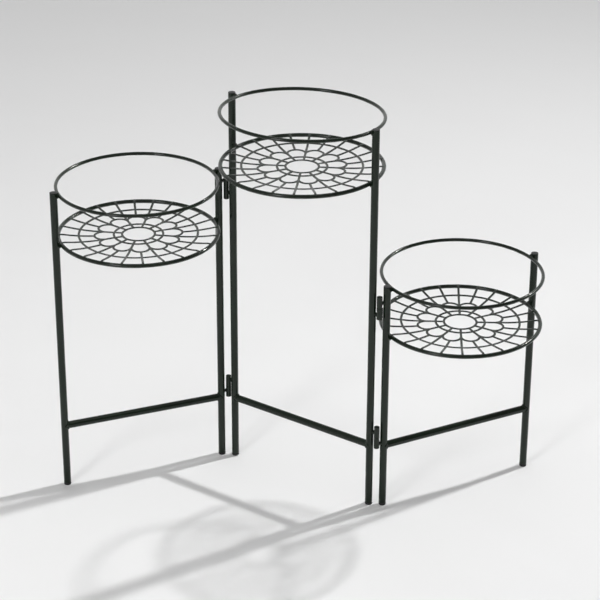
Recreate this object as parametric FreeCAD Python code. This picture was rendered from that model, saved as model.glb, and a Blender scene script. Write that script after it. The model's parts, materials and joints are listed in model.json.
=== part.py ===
import FreeCAD, Part
import math
import os

# Folding plant stand: three upright panels of round tube, hinged in a zigzag.
# Every panel carries a hoop near its top and a tray with a rosette grille below it.
# Millimetres, +Z up, feet on Z = 0, origin under the middle of the whole stand.
# A panel is built along X about its own centre line, then turned to its heading and set in place.

# Tube frame of a panel
post_spacing = 292.0
post_diameter = 12.7
post_wall = 1.2
crossbar_diameter = 12.7
crossbar_wall = 1.2
crossbar_height = 118.0

# Height of each panel and its heading in plan, in degrees from +X
left_height = 561.0
middle_height = 700.0
right_height = 422.0
left_heading = 22.0
middle_heading = -35.8
right_heading = 27.6

# Plugs in the tube ends
plug_clearance = 0.1
foot_lip = 4.5
foot_stem = 14.0
foot_round = 1.2
cap_lip = 1.6
cap_stem = 10.0
cap_round = 0.9

# Hoop and tray rim, both bent from round rod and welded between the posts
hoop_rod = 6.0
hoop_drop = 7.0
middle_hoop_lean_angle = 3.0
rim_rod = 7.0
rim_drop = 97.0
weld_gap = 0.1
bead_radius = 3.0
bead_length = 7.0
bead_drop_share = 0.8

# Tray grille, cut from sheet, flat in the middle and swept up onto the rim
grille_sheet = 1.5
grille_bar = 4.0
grille_dip = 3.5
spoke_tip_reach = 1.0
main_spokes = 12
floor_share = 0.5
eye_share = 0.205
collar_share = 0.308
petal_tip_share = 0.55
band_share = 0.745

# Hinges between the panels
knuckle_diameter = 9.6
knuckle_dome = 1.5
barrel_length = 44.0
knuckle_gap = 0.4
pin_diameter = 4.0
pin_depth = 14.0
pin_end_clearance = 0.5
pin_running_clearance = 0.05
pin_seat_clearance = 0.02
stub_diameter = 5.0
stub_length = 3.0
stub_far = 13.5
stub_near = 8.2
upper_hinge_drop = 38.0
lower_hinge_height = 137.0

# How far a cutting shape runs past what it cuts
overrun = 2.0

V = FreeCAD.Vector
UP = V(0, 0, 1)
ORIGIN = V(0, 0, 0)

# Sizes that follow from the ones above
half_spacing = post_spacing / 2
post_radius = post_diameter / 2
post_bore = post_radius - post_wall
knuckle_radius = knuckle_diameter / 2
pin_radius = pin_diameter / 2
knuckle_length = (barrel_length - knuckle_gap) / 2
hinge_reach = post_radius + stub_length + knuckle_radius
hinge_radius = half_spacing + hinge_reach
clear_radius = half_spacing - post_radius - weld_gap
hoop_radius = clear_radius - hoop_rod / 2
rim_radius = clear_radius - rim_rod / 2
heights = {"left": left_height, "middle": middle_height, "right": right_height}
headings = {"left": left_heading, "middle": middle_heading, "right": right_heading}
leans = {"left": 0, "middle": middle_hoop_lean_angle, "right": 0}
sides = {"left": -1, "right": 1}


def plan(distance, degrees):
    """Point at a distance from the origin, in a direction in plan."""
    angle = math.radians(degrees)
    return V(distance * math.cos(angle), distance * math.sin(angle), 0)


def lay_out():
    """Plan places of the three panel centres and the two fold axes, about the middle of the box."""
    to_right = plan(hinge_radius, middle_heading)
    places = {"middle": ORIGIN}
    places["left"] = ORIGIN - to_right - plan(hinge_radius, left_heading)
    places["right"] = to_right + plan(hinge_radius, right_heading)
    round_spots = []
    for panel, centre in places.items():
        round_spots.append((centre, clear_radius))
        for side in sides.values():
            round_spots.append((centre + plan(side * half_spacing, headings[panel]), post_radius))
    low = V(min(c.x - r for c, r in round_spots), min(c.y - r for c, r in round_spots), 0)
    high = V(max(c.x + r for c, r in round_spots), max(c.y + r for c, r in round_spots), 0)
    middle = (low + high) / 2
    centres = {panel: centre - middle for panel, centre in places.items()}
    folds = {"left": centres["middle"] - to_right, "right": centres["middle"] + to_right}
    return centres, folds


panel_centres, fold_axes = lay_out()


def set_in_panel(shape, panel):
    """Turn a shape built along X to its panel's heading and move it to the panel's place."""
    shape.rotate(ORIGIN, UP, headings[panel])
    shape.translate(panel_centres[panel])
    return shape


def revolved(edges):
    """Solid of a closed outline in the XZ plane, turned about Z."""
    return Part.Face(Part.Wire(edges)).revolve(ORIGIN, UP, 360)


def lines(*points):
    """Straight edges from point to point."""
    return [Part.makeLine(start, end) for start, end in zip(points, points[1:])]


def arc(start, through, end):
    """Circular edge through three points."""
    return Part.Arc(start, through, end).toShape()


def post_tube(panel, side):
    """Open round tube of one post, between its foot and its cap."""
    length = heights[panel] - foot_lip - cap_lip
    base = V(side * half_spacing, 0, foot_lip)
    tube = Part.makeCylinder(post_radius, length, base)
    bore = Part.makeCylinder(post_bore, length + 2 * overrun, base - UP * overrun)
    return tube.cut(bore)


def end_plug(lip, stem, rounding):
    """Plug with its lip on Z = 0 and its stem pointing up; the lip's outer edge is rounded."""
    stem_radius = post_bore - plug_clearance
    slope = rounding * math.sqrt(2) / 2
    corner = V(post_radius - rounding, 0, rounding)
    start = V(post_radius - rounding, 0, 0)
    end = V(post_radius, 0, rounding)
    outline = lines(ORIGIN, start)
    outline.append(arc(start, corner + V(slope, 0, -slope), end))
    outline += lines(end, V(post_radius, 0, lip), V(stem_radius, 0, lip))
    outline += lines(V(stem_radius, 0, lip), V(stem_radius, 0, lip + stem), V(0, 0, lip + stem), ORIGIN)
    return revolved(outline)


def foot(panel, side):
    """Foot plug under a post."""
    plug = end_plug(foot_lip, foot_stem, foot_round)
    plug.translate(V(side * half_spacing, 0, 0))
    return plug


def cap(panel, side):
    """Closing plug in the top of a post, the same shape upside down."""
    plug = end_plug(cap_lip, cap_stem, cap_round)
    plug.rotate(ORIGIN, V(1, 0, 0), 180)
    plug.translate(V(side * half_spacing, 0, heights[panel]))
    return plug


def crossbar(panel):
    """Round tube between the posts, its ends coped to their curve."""
    start = V(-half_spacing, 0, crossbar_height)
    bar = Part.makeCylinder(crossbar_diameter / 2, post_spacing, start, V(1, 0, 0))
    bore_radius = crossbar_diameter / 2 - crossbar_wall
    cuts = [Part.makeCylinder(bore_radius, post_spacing, start, V(1, 0, 0))]
    cope_base = crossbar_height - crossbar_diameter / 2 - overrun
    cope_length = crossbar_diameter + 2 * overrun
    for side in sides.values():
        cope_start = V(side * half_spacing, 0, cope_base)
        cuts.append(Part.makeCylinder(post_radius + weld_gap, cope_length, cope_start))
    return bar.cut(cuts)


def rod_ring(ring_radius, rod_radius, height, lean):
    """Closed ring of round rod, leaning about the line between the posts."""
    ring = Part.makeTorus(ring_radius, rod_radius)
    ring.rotate(ORIGIN, V(1, 0, 0), -lean)
    ring.translate(V(0, 0, height))
    return ring


def ring_welds(ring_radius, rod_radius, height, lean):
    """Two weld beads in the corners under a ring, where it meets the posts."""
    ring_room = rod_ring(ring_radius, rod_radius + weld_gap, height, lean)
    along = V(0, 1, 0)
    beads = []
    for side in sides.values():
        seat = V(side * clear_radius, 0, height - rod_radius * bead_drop_share)
        bead = Part.makeCylinder(bead_radius, bead_length, seat - along * (bead_length / 2), along)
        post_base = V(side * half_spacing, 0, seat.z - bead_radius - overrun)
        post_room = Part.makeCylinder(post_radius + weld_gap, 2 * (bead_radius + overrun), post_base)
        beads.append(bead.cut([ring_room, post_room]))
    return Part.makeCompound(beads)


def on_spoke(radius, across, angle):
    """Point on a line beside a spoke, where that line crosses a circle about the tray's centre."""
    return beside_spoke(math.sqrt(radius ** 2 - across ** 2), across, angle)


def beside_spoke(along, across, angle):
    """Point given along and across a spoke's own direction."""
    along_spoke = V(math.cos(angle), math.sin(angle), 0)
    across_spoke = V(-math.sin(angle), math.cos(angle), 0)
    return along_spoke * along + across_spoke * across


def arc_about(centre, start, end):
    """Arc of under a half circle between two points, about a centre."""
    middle = (start - centre) + (end - centre)
    return arc(start, centre + middle.normalize() * (start - centre).Length, end)


def cell(*sides_in_order):
    """Closed wire from edges that follow each other."""
    return Part.Wire(list(sides_in_order))


def grille_openings(angle):
    """The four openings between one main spoke and the next."""
    half_bar = grille_bar / 2
    half_step = math.pi / main_spokes
    between = angle + half_step
    after = angle + 2 * half_step
    eye_edge = rim_radius * eye_share + half_bar
    collar_inside = rim_radius * collar_share - half_bar
    collar_outside = rim_radius * collar_share + half_bar
    band_inside = rim_radius * band_share - half_bar
    petal_reach = rim_radius * petal_tip_share / (1 + math.sin(half_step))
    petal_radius = petal_reach * math.sin(half_step)
    petal_outside = petal_radius + half_bar
    petal_centre = beside_spoke(petal_reach, 0, between)
    petal_tip = beside_spoke(petal_reach + petal_radius - half_bar, 0, between)
    foot_of_petal = petal_reach * math.cos(half_step)

    # Between the eye ring and the collar ring
    inner = [on_spoke(eye_edge, half_bar, angle), on_spoke(collar_inside, half_bar, angle)]
    outer = [on_spoke(collar_inside, -half_bar, after), on_spoke(eye_edge, -half_bar, after)]
    collar_cell = cell(
        Part.makeLine(inner[0], inner[1]),
        arc_about(ORIGIN, inner[1], outer[0]),
        Part.makeLine(outer[0], outer[1]),
        arc_about(ORIGIN, outer[1], inner[0]),
    )

    # Inside the petal: straight along both spokes, then round the arch
    root = [on_spoke(collar_outside, half_bar, angle), on_spoke(collar_outside, -half_bar, after)]
    spring = [beside_spoke(foot_of_petal, half_bar, angle), beside_spoke(foot_of_petal, -half_bar, after)]
    petal_cell = cell(
        Part.makeLine(root[0], spring[0]),
        arc(spring[0], petal_tip, spring[1]),
        Part.makeLine(spring[1], root[1]),
        arc_about(ORIGIN, root[1], root[0]),
    )

    # Two spandrels between the petal and the outer band, one each side of the short spoke
    spandrels = []
    crown = petal_reach + math.sqrt(petal_outside ** 2 - half_bar ** 2)
    shoulder = foot_of_petal + math.sqrt(petal_outside ** 2 - (petal_radius - half_bar) ** 2)
    for spoke, turn in ((angle, 1), (after, -1)):
        low = beside_spoke(shoulder, turn * half_bar, spoke)
        high = on_spoke(band_inside, turn * half_bar, spoke)
        far = on_spoke(band_inside, -turn * half_bar, between)
        near = beside_spoke(crown, -turn * half_bar, between)
        spandrels.append(cell(
            Part.makeLine(low, high),
            arc_about(ORIGIN, high, far),
            Part.makeLine(far, near),
            arc_about(petal_centre, near, low),
        ))
    return [collar_cell, petal_cell] + spandrels


def grille_outline():
    """Outer edge of the grille: the outer band with every spoke's tip standing out of it."""
    half_bar = grille_bar / 2
    band_edge = rim_radius * band_share + half_bar
    tip = rim_radius + spoke_tip_reach
    step = math.pi / main_spokes
    edges = []
    for number in range(2 * main_spokes):
        angle = number * step
        root = on_spoke(band_edge, -half_bar, angle)
        tip_start = on_spoke(tip, -half_bar, angle)
        tip_end = on_spoke(tip, half_bar, angle)
        back = on_spoke(band_edge, half_bar, angle)
        edges.append(Part.makeLine(root, tip_start))
        edges.append(arc_about(ORIGIN, tip_start, tip_end))
        edges.append(Part.makeLine(tip_end, back))
        edges.append(arc_about(ORIGIN, back, on_spoke(band_edge, -half_bar, angle + step)))
    return Part.Wire(edges)


def grille_dish():
    """Plain dish of the grille's sheet: flat floor, then an arc that lies on the rim rod."""
    floor_radius = rim_radius * floor_share
    rod_radius = rim_rod / 2
    run = rim_radius - floor_radius
    bend = (run ** 2 + grille_dip ** 2 - rod_radius ** 2) / (2 * (rod_radius + grille_dip))
    centre = V(floor_radius, 0, bend - grille_dip)
    end_angle = math.asin((run + spoke_tip_reach + overrun) / bend)

    def on_bend(radius, share):
        angle = end_angle * share
        return centre + V(radius * math.sin(angle), 0, -radius * math.cos(angle))

    inside = bend - grille_sheet
    half_share = 0.5
    outline = lines(V(0, 0, -grille_dip), on_bend(bend, 0))
    outline.append(arc(on_bend(bend, 0), on_bend(bend, half_share), on_bend(bend, 1)))
    outline += lines(on_bend(bend, 1), on_bend(inside, 1))
    outline.append(arc(on_bend(inside, 1), on_bend(inside, half_share), on_bend(inside, 0)))
    outline += lines(on_bend(inside, 0), V(0, 0, grille_sheet - grille_dip), V(0, 0, -grille_dip))
    return revolved(outline)


def tray_grille(height):
    """Rosette grille: eye, collar, petals, band and spokes, cut from the dished sheet."""
    wires = [grille_outline()]
    wires.append(Part.Wire(Part.makeCircle(rim_radius * eye_share - grille_bar / 2)))
    for number in range(main_spokes):
        wires += grille_openings(2 * math.pi * number / main_spokes)
    dish = grille_dish()
    low = dish.BoundBox.ZMin - overrun
    prism = Part.Face(wires, "Part::FaceMakerBullseye").extrude(UP * (dish.BoundBox.ZLength + 2 * overrun))
    prism.translate(UP * low)
    grille = dish.common(prism)
    grille.translate(UP * height)
    return grille


def build_panel(panel):
    """All pieces of one panel, by node name."""
    hoop_height = heights[panel] - hoop_drop
    rim_height = heights[panel] - rim_drop
    pieces = {}
    for name, side in sides.items():
        pieces[f"{name}_post"] = post_tube(panel, side)
        pieces[f"{name}_cap"] = cap(panel, side)
        pieces[f"{name}_foot"] = foot(panel, side)
    pieces["crossbar"] = crossbar(panel)
    pieces["hoop"] = rod_ring(hoop_radius, hoop_rod / 2, hoop_height, leans[panel])
    pieces["hoop_welds"] = ring_welds(hoop_radius, hoop_rod / 2, hoop_height, leans[panel])
    pieces["tray_rim"] = rod_ring(rim_radius, rim_rod / 2, rim_height, 0)
    pieces["tray_welds"] = ring_welds(rim_radius, rim_rod / 2, rim_height, 0)
    pieces["tray_grille"] = tray_grille(rim_height)
    return {f"{panel}_panel_{name}": set_in_panel(shape, panel) for name, shape in pieces.items()}


def knuckle(bore_clearance):
    """Knuckle standing on the barrel's middle, blind bore below, domed end above."""
    foot_level = knuckle_gap / 2
    top = foot_level + knuckle_length
    shoulder = V(knuckle_radius, 0, top - knuckle_dome)
    crown = V(0, 0, top)
    ball = (knuckle_radius ** 2 + knuckle_dome ** 2) / (2 * knuckle_dome)
    half_angle = math.asin(knuckle_radius / ball) / 2
    through = V(ball * math.sin(half_angle), 0, top - ball + ball * math.cos(half_angle))
    bore = pin_radius + bore_clearance
    bore_top = foot_level + pin_depth
    outline = lines(V(bore, 0, foot_level), V(knuckle_radius, 0, foot_level), shoulder)
    outline.append(arc(shoulder, through, crown))
    outline += lines(crown, V(0, 0, bore_top), V(bore, 0, bore_top), V(bore, 0, foot_level))
    return revolved(outline)


def hinge_pin():
    """Pin from the bottom of one blind bore almost to the end of the other."""
    low = -knuckle_gap / 2 - pin_depth
    length = 2 * pin_depth + knuckle_gap - pin_end_clearance
    return Part.makeCylinder(pin_radius, length, V(0, 0, low))


def stub(panel, side, level):
    """Round stub from a hinge axis to the post beside it, coped to the knuckle and the post."""
    to_post = -plan(side, headings[panel])
    bar = Part.makeCylinder(stub_diameter / 2, hinge_reach, V(0, 0, level), to_post)
    base = V(0, 0, level - stub_diameter / 2 - overrun)
    tall = stub_diameter + 2 * overrun
    knuckle_room = Part.makeCylinder(knuckle_radius + weld_gap, tall, base)
    post_room = Part.makeCylinder(post_radius + weld_gap, tall, base + to_post * hinge_reach)
    return bar.cut([knuckle_room, post_room])


def build_hinge(fold, level_name):
    """Pieces of one hinge. The upper hinge has the side panel on top, the lower one the middle panel."""
    if level_name == "upper":
        level = heights[fold] - upper_hinge_drop
        carriers = {"top": fold, "bottom": "middle"}
    else:
        level = lower_hinge_height
        carriers = {"top": "middle", "bottom": fold}
    if fold == "left":
        stub_levels = {"top": stub_far, "bottom": -stub_near}
    else:
        stub_levels = {"top": stub_near, "bottom": -stub_far}
    pieces = {"top_knuckle": knuckle(pin_running_clearance)}
    pieces["bottom_knuckle"] = knuckle(pin_seat_clearance)
    pieces["bottom_knuckle"].rotate(ORIGIN, V(1, 0, 0), 180)
    pieces["pin"] = hinge_pin()
    for end, panel in carriers.items():
        side = sides[fold] if panel == "middle" else -sides[fold]
        pieces[f"{end}_stub"] = stub(panel, side, stub_levels[end])
    place = fold_axes[fold] + UP * level
    for shape in pieces.values():
        shape.translate(place)
    return {f"{fold}_{level_name}_hinge_{name}": shape for name, shape in pieces.items()}


def build_stand():
    """Every piece of the stand, by node name."""
    stand = {}
    for panel in heights:
        stand.update(build_panel(panel))
    for fold in sides:
        for level_name in ("upper", "lower"):
            stand.update(build_hinge(fold, level_name))
    return stand


stand_pieces = build_stand()
os.makedirs("parts", exist_ok=True)
for node, piece in stand_pieces.items():
    piece.exportStep(f"parts/{node}.step")
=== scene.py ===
"""Looks of a folding three-panel plant stand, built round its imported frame. Metres, +Z up."""
import json
import logging
import math
from dataclasses import dataclass
from enum import Enum
from typing import Iterator, Sequence

import bmesh
import bpy
from mathutils import Matrix, Vector

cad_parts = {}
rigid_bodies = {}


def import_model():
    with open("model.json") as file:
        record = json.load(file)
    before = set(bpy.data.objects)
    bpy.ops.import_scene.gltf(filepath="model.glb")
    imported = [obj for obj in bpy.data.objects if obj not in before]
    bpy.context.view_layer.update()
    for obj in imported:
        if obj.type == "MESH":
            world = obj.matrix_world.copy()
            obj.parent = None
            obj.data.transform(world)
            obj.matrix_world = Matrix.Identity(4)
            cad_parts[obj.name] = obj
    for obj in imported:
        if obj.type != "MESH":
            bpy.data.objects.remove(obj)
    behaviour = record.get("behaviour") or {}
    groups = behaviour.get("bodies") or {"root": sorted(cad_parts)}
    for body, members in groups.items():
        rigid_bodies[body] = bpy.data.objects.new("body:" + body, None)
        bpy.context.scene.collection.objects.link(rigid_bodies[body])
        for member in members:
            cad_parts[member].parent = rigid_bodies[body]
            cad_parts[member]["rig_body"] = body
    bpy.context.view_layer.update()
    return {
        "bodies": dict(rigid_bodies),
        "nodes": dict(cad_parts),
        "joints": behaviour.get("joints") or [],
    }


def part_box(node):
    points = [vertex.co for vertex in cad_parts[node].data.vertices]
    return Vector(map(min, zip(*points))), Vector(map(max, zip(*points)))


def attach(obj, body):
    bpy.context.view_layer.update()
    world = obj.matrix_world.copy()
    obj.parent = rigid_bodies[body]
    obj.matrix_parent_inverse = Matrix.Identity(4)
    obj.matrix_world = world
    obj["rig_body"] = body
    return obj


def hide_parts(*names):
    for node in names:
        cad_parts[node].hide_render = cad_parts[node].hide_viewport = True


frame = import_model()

IMAGE_SIDE = 600
SMOOTH_ANGLE = math.radians(35)
FLOAT = "NodeSocketFloat"
INT = "NodeSocketInt"
MATERIAL = "NodeSocketMaterial"
ON_AXIS = 1e-7
NOISE_LOW = 0.3
NOISE_HIGH = 0.7
RAMP_MIDDLE = 0.5
BEVEL_STEPS = 2
BEVEL_ANGLE = math.radians(50)
BEAD_SIDES = 12
RIPPLE_STEPS = 5.0
BEAD_END_POWER = 4.0
BEAD_END_REACH = 1.02
TACK_SEGMENTS = 12
TACK_RINGS = 8

log = logging.getLogger("plant_stand")

Socket = bpy.types.NodeSocket
Mesh = bpy.types.Mesh
Material = bpy.types.Material
Colour = tuple[float, float, float, float]
Span = tuple[float, float]
Outline = list[tuple[float, float]]
Corners = Sequence[tuple[float, float, float]]
Ends = Sequence[tuple[float, float]]


class Side(Enum):
    """The two sides of a panel, as seen from the front."""

    LEFT = -1
    RIGHT = 1

    @property
    def word(self) -> str:
        """The side as a word in a node's name."""
        return self.name.lower()


class Level(Enum):
    """The two hinges on one fold."""

    UPPER = "upper"
    LOWER = "lower"


class End(Enum):
    """The two knuckles of one hinge."""

    TOP = "top"
    BOTTOM = "bottom"


class Slot(Enum):
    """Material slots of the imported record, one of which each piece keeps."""

    COAT = "frame_coat"
    PLUGS = "end_plugs"


def linked(name: str, data: bpy.types.ID) -> bpy.types.Object:
    """New object of that data, linked to the scene.

    Args:
        name: Name of the object.
        data: Its mesh, lamp or lens.

    Returns:
        The object, at the origin.
    """
    thing = bpy.data.objects.new(name, data)
    bpy.context.scene.collection.objects.link(thing)
    return thing


# Node trees


class NodeGraph:
    """A node tree that is written node by node."""

    def __init__(self, tree: bpy.types.NodeTree) -> None:
        """Keep the tree that nodes are added to."""
        self.tree = tree

    def add(self, kind: str, inputs: dict | None = None,
            **settings: object) -> bpy.types.bpy_prop_collection:
        """Add a node, set it up and link it.

        Args:
            kind: Blender's name of the node type.
            inputs: Values or sockets by the name or number of the node's input.
            settings: The node's own properties.

        Returns:
            The node's outputs.
        """
        node = self.tree.nodes.new(kind)
        for name, value in settings.items():
            setattr(node, name, value)
        for key, value in (inputs or {}).items():
            if isinstance(value, Socket):
                self.tree.links.new(value, node.inputs[key])
            else:
                node.inputs[key].default_value = value
        return node.outputs

    def calc(self, operation: str, *values: object) -> Socket:
        """Result of one Math node on numbers or sockets."""
        return self.add("ShaderNodeMath", dict(enumerate(values)), operation=operation)[0]

    def eased(self, value: Socket, start: object, end: object, low: object, high: object) -> Socket:
        """Number that eases from low to high as the value runs from start to end."""
        spread = {"Value": value, 1: start, 2: end, 3: low, 4: high}
        return self.add("ShaderNodeMapRange", spread, interpolation_type="SMOOTHSTEP")[0]


class GeometryTree(NodeGraph):
    """A geometry node tree with named inputs for its sizes, baked to a plain mesh."""

    def __init__(self, name: str, inputs: dict[str, str]) -> None:
        """Make the tree with its named inputs.

        Args:
            name: Name of the tree.
            inputs: Socket type of each named input.
        """
        super().__init__(bpy.data.node_groups.new(name, "GeometryNodeTree"))
        face = self.tree.interface
        face.new_socket("Geometry", in_out="INPUT", socket_type="NodeSocketGeometry")
        for label, kind in {**inputs, "Material": MATERIAL}.items():
            face.new_socket(label, in_out="INPUT", socket_type=kind)
        face.new_socket("Geometry", in_out="OUTPUT", socket_type="NodeSocketGeometry")
        self.given = self.add("NodeGroupInput")

    def circle(self, steps: object, radius: object) -> Socket:
        """Curve of a circle about Z."""
        inputs = {"Resolution": steps, "Radius": radius}
        return self.add("GeometryNodeCurvePrimitiveCircle", inputs)["Curve"]

    def close(self, geometry: Socket) -> None:
        """End the tree in real geometry with its material on it.

        Args:
            geometry: What the tree has made.
        """
        real = self.add("GeometryNodeRealizeInstances", {"Geometry": geometry})[0]
        dressed = {"Geometry": real, "Material": self.given["Material"]}
        result = self.add("GeometryNodeSetMaterial", dressed)[0]
        self.add("NodeGroupOutput", {0: result})

    def bake(self, source: Mesh, finish: "Finish", spot: Matrix, sizes: dict[str, object],
             edge_round: float = 0) -> Mesh:
        """Run the tree once and keep what it makes as a plain mesh in its place.

        Args:
            source: Mesh that the tree starts from, which is used up.
            finish: Finish of what it makes.
            spot: Place of what it makes.
            sizes: Value of each named input for a size.
            edge_round: Radius of the rounding on sharp edges, or 0 for none.

        Returns:
            The finished mesh, with its material.
        """
        carrier = linked(self.tree.name, source)
        modifier = carrier.modifiers.new(self.tree.name, "NODES")
        modifier.node_group = self.tree
        values = {**sizes, "Material": finish.material()}
        for item in self.tree.interface.items_tree:
            if item.in_out == "INPUT" and item.name in values:
                modifier[item.identifier] = values[item.name]
        if edge_round:
            bevel = carrier.modifiers.new("edge_round", "BEVEL")
            bevel.width = edge_round
            bevel.segments = BEVEL_STEPS
            bevel.limit_method = "ANGLE"
            bevel.angle_limit = BEVEL_ANGLE
        depsgraph = bpy.context.evaluated_depsgraph_get()
        mesh = bpy.data.meshes.new_from_object(carrier.evaluated_get(depsgraph))
        bpy.data.objects.remove(carrier)
        bpy.data.meshes.remove(source)
        outward(mesh)
        mesh.transform(spot)
        return mesh


@dataclass(frozen=True)
class Grain:
    """Noise pattern of a finish: grains per metre, octaves, tightness on each axis, and its relief."""

    scale: float
    detail: float = 2.0
    stretch: tuple[float, float, float] = (1, 1, 1)
    depth: float = 0.0
    strength: float = 0.0


class MaterialTree(NodeGraph):
    """Node tree of one material: a Principled shader fed by textures on Object coordinates."""

    def __init__(self, name: str) -> None:
        """Make an empty material of that name.

        Args:
            name: Name of the material.
        """
        self.material = bpy.data.materials.new(name)
        self.material.use_nodes = True
        super().__init__(self.material.node_tree)
        self.tree.nodes.clear()
        self.place = self.add("ShaderNodeTexCoord")["Object"]

    def noise(self, grain: Grain) -> Socket:
        """Value of a grain on the piece, from 0 to 1.

        Args:
            grain: The grain.

        Returns:
            The noise's value.
        """
        spot = self.add("ShaderNodeMapping", {"Vector": self.place, "Scale": grain.stretch})[0]
        pattern = {"Vector": spot, "Scale": grain.scale, "Detail": grain.detail}
        return self.add("ShaderNodeTexNoise", pattern)[0]

    def between(self, grain: Grain, span: Span) -> Socket:
        """Number that a grain spreads over a span."""
        spread = {"Value": self.noise(grain), 1: NOISE_LOW, 2: NOISE_HIGH, 3: span[0], 4: span[1]}
        return self.add("ShaderNodeMapRange", spread)[0]

    def tones(self, value: Socket, *colours: Colour) -> Socket:
        """Colour that runs evenly through the given colours over a noise's usual range.

        Args:
            value: Number that runs from 0 to 1.
            colours: Two colours or more, in order.

        Returns:
            The colour.
        """
        node = self.tree.nodes.new("ShaderNodeValToRGB")
        ramp = node.color_ramp
        while len(ramp.elements) < len(colours):
            ramp.elements.new(RAMP_MIDDLE)
        for number, colour in enumerate(colours):
            share = number / (len(colours) - 1)
            ramp.elements[number].position = NOISE_LOW + (NOISE_HIGH - NOISE_LOW) * share
            ramp.elements[number].color = colour
        self.tree.links.new(value, node.inputs[0])
        return node.outputs[0]

    def bump(self, height: Socket, grain: Grain, under: Socket | None = None) -> Socket:
        """Normal of a surface with a grain's relief.

        Args:
            height: The grain's value, from 0 to 1.
            grain: The grain, which has the relief's real depth and the share of it that shows.
            under: Normal that the relief lies on, if any.

        Returns:
            The bumped normal.
        """
        inputs = {"Height": height, "Distance": grain.depth, "Strength": grain.strength}
        if under is not None:
            inputs["Normal"] = under
        return self.add("ShaderNodeBump", inputs)[0]

    def close(self, shader: dict) -> Material:
        """End the tree in one Principled shader and hand over the material.

        Args:
            shader: Values or sockets by the name of the shader's input.

        Returns:
            The finished material.
        """
        surface = self.add("ShaderNodeBsdfPrincipled", shader)[0]
        self.add("ShaderNodeOutputMaterial", {"Surface": surface})
        return self.material


# Finishes


@dataclass(frozen=True)
class Finish:
    """A finish that is made into a material once and shared by all pieces that have it."""

    name: str

    def material(self) -> Material:
        """The finish's material, made on first use."""
        return bpy.data.materials.get(self.name) or self.make()

    def make(self) -> Material:
        """Build the material."""
        raise NotImplementedError


@dataclass(frozen=True)
class PowderCoat(Finish):
    """Glossy dark green powder coat with a fine orange peel."""

    name: str = "dark_green_powder_coat"
    deep: Colour = (0.0033, 0.0090, 0.0036, 1)
    plain: Colour = (0.0042, 0.0112, 0.0045, 1)
    pale: Colour = (0.0054, 0.0135, 0.0058, 1)
    drift: Grain = Grain(scale=22.0, detail=4.0)
    gloss: Grain = Grain(scale=88.0, detail=3.0)
    peel: Grain = Grain(scale=620.0, detail=1.0, depth=0.00004, strength=0.2)
    pits: Grain = Grain(scale=2600.0, depth=0.00001, strength=0.2)
    roughness: Span = (0.15, 0.21)
    index: float = 1.42

    def make(self) -> Material:
        """Tone drift, orange peel, fine pits and a gloss that varies a little.

        Returns:
            The material.
        """
        tree = MaterialTree(self.name)
        skin = tree.bump(tree.noise(self.peel), self.peel)
        skin = tree.bump(tree.noise(self.pits), self.pits, skin)
        return tree.close({
            "Base Color": tree.tones(tree.noise(self.drift), self.deep, self.plain, self.pale),
            "Roughness": tree.between(self.gloss, self.roughness),
            "IOR": self.index,
            "Normal": skin,
        })


@dataclass(frozen=True)
class MouldedPlastic(Finish):
    """Black moulded plastic with a fine spark-eroded grain."""

    name: str = "black_moulded_plastic"
    deep: Colour = (0.007, 0.007, 0.0072, 1)
    pale: Colour = (0.013, 0.013, 0.0134, 1)
    drift: Grain = Grain(scale=90.0, detail=3.0)
    gloss: Grain = Grain(scale=400.0)
    spark: Grain = Grain(scale=1500.0, detail=3.0, depth=0.00004, strength=0.5)
    roughness: Span = (0.42, 0.56)
    index: float = 1.47

    def make(self) -> Material:
        """Tone drift and a satin grain.

        Returns:
            The material.
        """
        tree = MaterialTree(self.name)
        return tree.close({
            "Base Color": tree.tones(tree.noise(self.drift), self.deep, self.pale),
            "Roughness": tree.between(self.gloss, self.roughness),
            "IOR": self.index,
            "Normal": tree.bump(tree.noise(self.spark), self.spark),
        })


@dataclass(frozen=True)
class TurnedSteel(Finish):
    """Bright steel with turning marks round its length."""

    name: str = "turned_steel_pin"
    deep: Colour = (0.38, 0.38, 0.37, 1)
    pale: Colour = (0.55, 0.55, 0.54, 1)
    rings: Grain = Grain(scale=300.0, detail=3.0, stretch=(1, 1, 12), depth=0.00001, strength=0.4)
    gloss: Grain = Grain(scale=300.0)
    roughness: Span = (0.28, 0.4)

    def make(self) -> Material:
        """Fine rings along Z in tone and bump.

        Returns:
            The material.
        """
        tree = MaterialTree(self.name)
        marks = tree.noise(self.rings)
        return tree.close({
            "Base Color": tree.tones(marks, self.deep, self.pale),
            "Metallic": 1.0,
            "Roughness": tree.between(self.gloss, self.roughness),
            "Normal": tree.bump(marks, self.rings),
        })


@dataclass(frozen=True)
class PaperFloor(Finish):
    """Pale seamless paper whose colour darkens away from the part: painted shade for light that falls off
    there.
    """

    name: str = "pale_studio_paper"
    near: Colour = (0.85, 0.85, 0.85, 1)
    far: Colour = (0.82, 0.82, 0.82, 1)
    near_radius: float = 0.7
    far_radius: float = 3.0
    roughness: float = 0.9
    sheen: float = 0.15

    def make(self) -> Material:
        """Matt paper, its colour darkened with the distance from the part's middle as painted falloff of the
        light.

        Returns:
            The material.
        """
        tree = MaterialTree(self.name)
        radius = tree.add("ShaderNodeVectorMath", {0: tree.place}, operation="LENGTH")["Value"]
        # Painted shade: the colour runs from the near tone to the darker far tone away from the part,
        # standing in for falling light.
        distance = tree.eased(radius, self.near_radius, self.far_radius, NOISE_LOW, NOISE_HIGH)
        return tree.close({
            "Base Color": tree.tones(distance, self.near, self.far),
            "Roughness": self.roughness,
            "Specular IOR Level": self.sheen,
        })


# Meshes


def outward(mesh: Mesh) -> None:
    """Turn all faces of closed shells outwards and shade them smooth between sharp edges.

    Args:
        mesh: Mesh that is changed in place.
    """
    work = bmesh.new()
    work.from_mesh(mesh)
    bmesh.ops.recalc_face_normals(work, faces=work.faces)
    work.to_mesh(mesh)
    work.free()
    mesh.shade_smooth()
    mesh.set_sharp_from_angle(angle=SMOOTH_ANGLE)


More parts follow.
